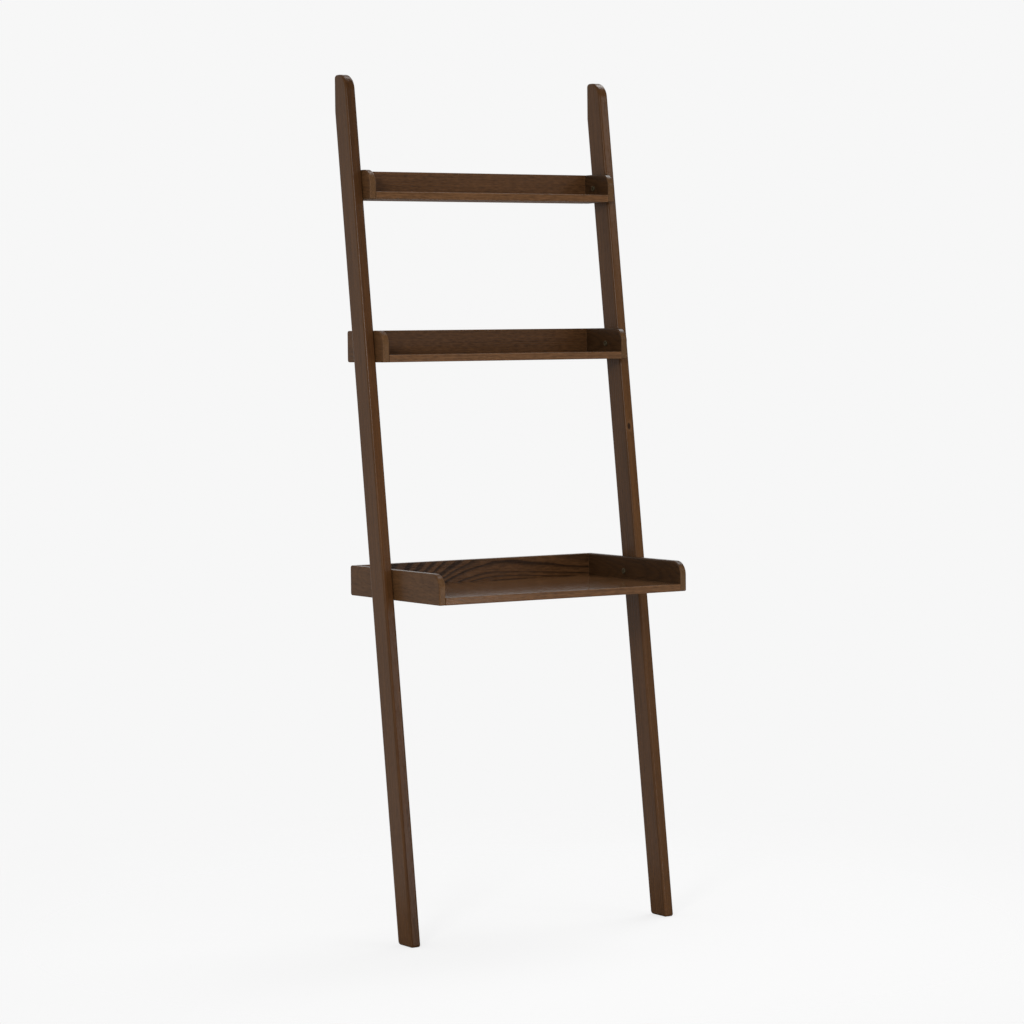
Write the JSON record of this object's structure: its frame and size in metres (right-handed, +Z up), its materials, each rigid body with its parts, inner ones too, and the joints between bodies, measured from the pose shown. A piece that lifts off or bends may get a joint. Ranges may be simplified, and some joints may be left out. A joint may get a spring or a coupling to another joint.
{
  "type": "ladder desk",
  "caption": "Desk that leans on a wall: upright boards carry a desk tray and shelf trays above it.",
  "frame": {"origin": "on the floor, midway between the uprights and midway between the wall and the desk's front edge", "axes": "+Z up, +X to the right seen from the front, +Y back towards the wall"},
  "size_m": [0.684, 0.382, 1.88],
  "materials": {
    "stained_wood": "dark walnut stain on ash-like wood, satin",
    "bolt_steel": "dark bronze plating, satin",
    "insert_steel": "zinc-plated, plain",
    "beech": "plain beech, unfinished"
  },
  "bodies": {
    "root": {"desk_back_dowels": "beech", "desk_back_panel": "stained_wood", "desk_board": "stained_wood", "desk_board_dowels": "beech", "desk_left_bolt": "bolt_steel", "desk_left_cheek": "stained_wood", "desk_left_insert": "insert_steel", "desk_left_locating_dowel": "beech", "desk_rail_dowels": "beech", "desk_right_bolt": "bolt_steel", "desk_right_cheek": "stained_wood", "desk_right_insert": "insert_steel", "desk_right_locating_dowel": "beech", "left_upright": "stained_wood", "middle_shelf_back_dowels": "beech", "middle_shelf_back_panel": "stained_wood", "middle_shelf_board": "stained_wood", "middle_shelf_board_dowels": "beech", "middle_shelf_left_bolt": "bolt_steel", "middle_shelf_left_cheek": "stained_wood", "middle_shelf_left_insert": "insert_steel", "middle_shelf_left_locating_dowel": "beech", "middle_shelf_rail_dowels": "beech", "middle_shelf_right_bolt": "bolt_steel", "middle_shelf_right_cheek": "stained_wood", "middle_shelf_right_insert": "insert_steel", "middle_shelf_right_locating_dowel": "beech", "right_upright": "stained_wood", "top_shelf_back_dowels": "beech", "top_shelf_back_panel": "stained_wood", "top_shelf_board": "stained_wood", "top_shelf_board_dowels": "beech", "top_shelf_left_bolt": "bolt_steel", "top_shelf_left_cheek": "stained_wood", "top_shelf_left_insert": "insert_steel", "top_shelf_left_locating_dowel": "beech", "top_shelf_rail_dowels": "beech", "top_shelf_right_bolt": "bolt_steel", "top_shelf_right_cheek": "stained_wood", "top_shelf_right_insert": "insert_steel", "top_shelf_right_locating_dowel": "beech"}
  },
  "joints": []
}
